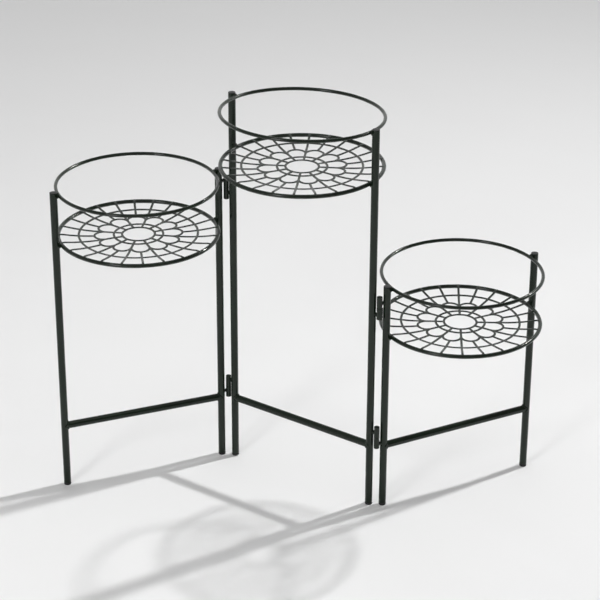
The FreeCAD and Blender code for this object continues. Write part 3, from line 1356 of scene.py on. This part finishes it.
@dataclass(frozen=True)
class FoldHinge:
    """One barrel hinge: two knuckles on a hidden pin, each on a stub that is welded to its post."""

    fold: str
    level: Level
    coat: PowderCoat
    steel: TurnedSteel
    dome: float = 0.0015
    dome_steps: int = 8
    barrel_sides: int = 32
    stub_sides: int = 28
    edge_round: float = 0.0003
    bore_radius: float = 0.00205
    bore_depth: float = 0.014
    weld: WeldStyle = WeldStyle(radius=0.0011, ripple_pitch=0.0011, steps=48)

    @property
    def stem(self) -> str:
        """Start of the names of the hinge's nodes."""
        return f"{self.fold}_{self.level.value}_hinge"

    def name(self, end: End, word: str) -> str:
        """Name of a solid or a piece at one end."""
        return f"{self.stem}_{end.value}_{word}"

    @property
    def axis(self) -> Vector:
        """The fold's axis in plan."""
        joint = next(j for j in frame["joints"] if j["name"] == f"{self.fold}_fold")
        return Vector((joint["pos_m"][0], joint["pos_m"][1], 0))

    def carrier(self, end: End) -> str:
        """The panel that carries one end's knuckle."""
        return frame["nodes"][self.name(end, "knuckle")]["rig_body"]

    def knuckle(self, end: End) -> Piece:
        """Knuckle with a blind bore towards the other one and a domed outer end.

        Args:
            end: Which of the two knuckles.

        Returns:
            The knuckle.
        """
        node = self.name(end, "knuckle")
        low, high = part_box(node)
        radius, length = half_width(node), high.z - low.z
        ball = (radius ** 2 + self.dome ** 2) / (2 * self.dome)
        outline = rounded([
            (0, self.bore_depth, 0), (self.bore_radius, self.bore_depth, 0),
            (self.bore_radius, 0, self.edge_round), (radius, 0, self.edge_round),
            (radius, length - self.dome, 0),
        ])[:-1]
        dome_angle = math.asin(radius / ball)
        for number in range(self.dome_steps + 1):
            angle = dome_angle * (1 - number / self.dome_steps)
            outline.append((ball * math.sin(angle), length - ball + ball * math.cos(angle)))
        turned = lathe(outline, self.barrel_sides)
        if end is End.BOTTOM:
            spot = Matrix.Translation(self.axis + Vector((0, 0, high.z))) @ Matrix.Rotation(math.pi, 4, "X")
        else:
            spot = Matrix.Translation(self.axis + Vector((0, 0, low.z)))
        mesh = dressed(turned, self.coat, spot)
        return Piece(self.name(end, "barrel"), mesh, self.carrier(end), Slot.COAT, (node,))

    def stub(self, end: End) -> tuple[Piece, Piece]:
        """Stub from a knuckle to its post, and the weld round both its ends.

        Args:
            end: The knuckle that it carries.

        Returns:
            The stub and its welds.
        """
        node = self.name(end, "stub")
        place = PanelPlace.read(self.carrier(end))
        posts = [place.at(side.value * place.half_spacing).translation for side in Side]
        to_post = min((post - self.axis for post in posts), key=lambda way: way.length)
        radius = half_depth(node)
        spot = Matrix.Translation(self.axis + Vector((0, 0, mid_height(node))))
        spot = spot @ Matrix.Rotation(math.atan2(to_post.y, to_post.x), 4, "Z")
        ends = [(0, half_width(self.name(end, "knuckle"))), (to_post.length, place.post_radius)]
        bar = dressed(coped_bar(ends, radius, steps=self.stub_sides), self.coat, spot)
        welds = self.weld.round_ends(ends, radius, self.coat, spot)
        return (
            Piece(self.name(end, "arm"), bar, place.name, Slot.COAT, (node,)),
            Piece(self.name(end, "arm_welds"), welds, place.name, Slot.COAT),
        )

    def dress_pin(self) -> None:
        """Give the pin inside the barrel its steel."""
        materials = frame["nodes"][f"{self.stem}_pin"].data.materials
        materials.clear()
        materials.append(self.steel.material())

    def build(self) -> Iterator[Piece]:
        """All pieces of the hinge, whose pin is dressed on the way.

        Yields:
            Knuckle, stub and welds of each end.
        """
        for end in End:
            yield self.knuckle(end)
            yield from self.stub(end)
        self.dress_pin()


# Studio


@dataclass(frozen=True)
class Viewpoint:
    """Camera at the photograph's viewing angle."""

    place: Vector = Vector((-0.0081, -3.3089, 1.9471))
    yaw: float = 0.003
    pitch: float = 0.4497
    roll: float = 0.0044
    focal_pixels: float = 2139.2
    sensor_mm: float = 36.0

    def build(self) -> None:
        """Make the camera and let the scene look through it."""
        lens = bpy.data.cameras.new("camera")
        lens.sensor_width = self.sensor_mm
        lens.lens = self.focal_pixels / IMAGE_SIDE * self.sensor_mm
        camera = linked("camera", lens)
        turn = Matrix.Rotation(-self.yaw, 4, "Z") @ Matrix.Rotation(math.pi / 2 - self.pitch, 4, "X")
        camera.matrix_world = Matrix.Translation(self.place) @ turn @ Matrix.Rotation(self.roll, 4, "Z")
        bpy.context.scene.camera = camera


@dataclass(frozen=True)
class StudioLight:
    """One studio lamp. An even lamp keeps its strength over distance, as one with a graded filter does."""

    name: str
    place: Vector
    power: float
    size: float
    aim: Vector = Vector((0, 0, 0.2))
    shape: str = "DISK"
    even: bool = False

    def build(self) -> None:
        """Hang the lamp and aim it."""
        lamp = bpy.data.lights.new(self.name, "AREA")
        lamp.shape = self.shape
        lamp.energy = self.power
        lamp.size = self.size
        if self.even:
            lamp.use_nodes = True
            tree = NodeGraph(lamp.node_tree)
            tree.tree.nodes.clear()
            strength = 1 / (self.aim - self.place).length_squared
            level = tree.add("ShaderNodeLightFalloff", {"Strength": strength})["Constant"]
            glow = tree.add("ShaderNodeEmission", {"Strength": level})[0]
            tree.add("ShaderNodeOutputLight", {"Surface": glow})
        thing = linked(self.name, lamp)
        turn = (self.aim - self.place).to_track_quat("-Z", "Y").to_matrix().to_4x4()
        thing.matrix_world = Matrix.Translation(self.place) @ turn
        thing.visible_camera = False


@dataclass(frozen=True)
class Studio:
    """Pale floor, soft light and camera."""

    floor_side: float = 60.0
    surround_front: float = 0.18
    surround_left: float = 0.45
    surround_back: float = 1.0
    back_span: Span = (0.3, 0.95)
    left_span: Span = (-0.45, -0.9)
    paper: PaperFloor = PaperFloor()
    view: Viewpoint = Viewpoint()
    lamps: tuple[StudioLight, ...] = (
        StudioLight("key_lamp", Vector((2.38, 1.36, 2.31)), power=88.0, size=0.17, even=True),
        StudioLight("top_softbox", Vector((0.0, -0.2, 2.5)), power=8.0, size=1.6, shape="SQUARE"),
        StudioLight("front_softbox", Vector((-2.0, -3.0, 2.05)), power=42.0, size=0.8, shape="SQUARE"),
    )

    def floor(self) -> None:
        """A wide paper floor just under the feet."""
        half = self.floor_side / 2
        mesh = bpy.data.meshes.new("paper_floor")
        corners = [(-half, -half, 0), (half, -half, 0), (half, half, 0), (-half, half, 0)]
        mesh.from_pydata(corners, [], [(0, 1, 2, 3)])
        mesh.materials.append(self.paper.material())
        thing = linked("paper_floor", mesh)

    def surround(self) -> None:
        """Soft grey surround that is brighter behind the part and to its left."""
        world = bpy.data.worlds.new("studio_surround")
        world.use_nodes = True
        tree = NodeGraph(world.node_tree)
        tree.tree.nodes.clear()
        way = tree.add("ShaderNodeSeparateXYZ", {0: tree.add("ShaderNodeTexCoord")["Generated"]})
        behind = tree.eased(way["Y"], *self.back_span, self.surround_front, self.surround_back)
        beside = tree.eased(way["X"], *self.left_span, 0.0, self.surround_left)
        level = tree.calc("ADD", behind, beside)
        light = tree.add("ShaderNodeBackground", {"Color": (1, 1, 1, 1), "Strength": level})[0]
        tree.add("ShaderNodeOutputWorld", {"Surface": light})
        bpy.context.scene.world = world

    def build(self) -> None:
        """Set up the whole studio."""
        self.surround()
        bpy.context.scene.view_settings.view_transform = "Standard"
        self.floor()
        for lamp in self.lamps:
            lamp.build()
        self.view.build()


def main() -> None:
    """Build the sub-assemblies in order, then the studio round them."""
    logging.basicConfig(level=logging.INFO, format="%(name)s %(message)s")
    coat, plastic, steel = PowderCoat(), MouldedPlastic(), TurnedSteel()
    hoop_rod, rim_rod = half_depth("left_panel_hoop"), half_depth("left_panel_tray_rim")
    assemblies: list[TubeFrame | RodRing | Rosette | FoldHinge] = []
    for panel in frame["bodies"]:
        place = PanelPlace.read(panel)
        rim = RodRing(place, f"{panel}_tray_rim", "tray_ring", rim_rod, coat)
        assemblies += [
            TubeFrame(place, coat, plastic),
            RodRing(place, f"{panel}_hoop", "pot_hoop", hoop_rod, coat),
            rim,
            Rosette(rim, coat),
        ]
    for joint in frame["joints"]:
        fold = joint["name"].removesuffix("_fold")
        assemblies += [FoldHinge(fold, level, coat, steel) for level in Level]
    for assembly in assemblies:
        for piece in assembly.build():
            piece.settle()
    Studio().build()


if __name__ == "__main__":
    main()
